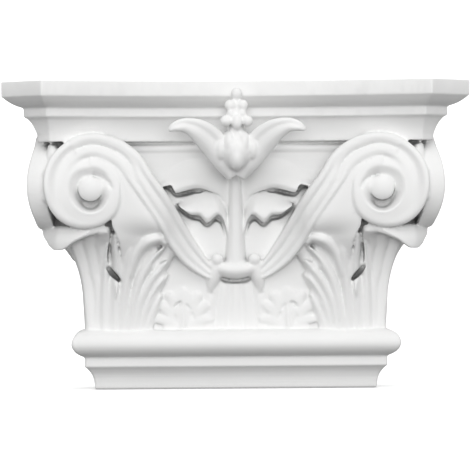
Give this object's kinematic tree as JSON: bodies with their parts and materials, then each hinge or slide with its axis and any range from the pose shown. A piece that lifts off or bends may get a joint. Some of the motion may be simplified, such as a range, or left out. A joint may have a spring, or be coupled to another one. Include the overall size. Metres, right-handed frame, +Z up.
{
  "type": "corinthian capital",
  "caption": "White moulded Corinthian pilaster capital with corner volutes, acanthus leaves, a central flower and a flat back",
  "frame": {"origin": "middle of the flat underside of the neck, where the capital sits on its pilaster", "axes": "+Z up, +Y into the wall so the carved face looks along -Y, +X to the right of someone who looks at the carved face; the width runs along X"},
  "size_m": [0.34, 0.1305, 0.224],
  "materials": {
    "white_primer": "matte white primer over a moulded urethane casting"
  },
  "bodies": {
    "root": {"capital": "white_primer"}
  },
  "joints": []
}
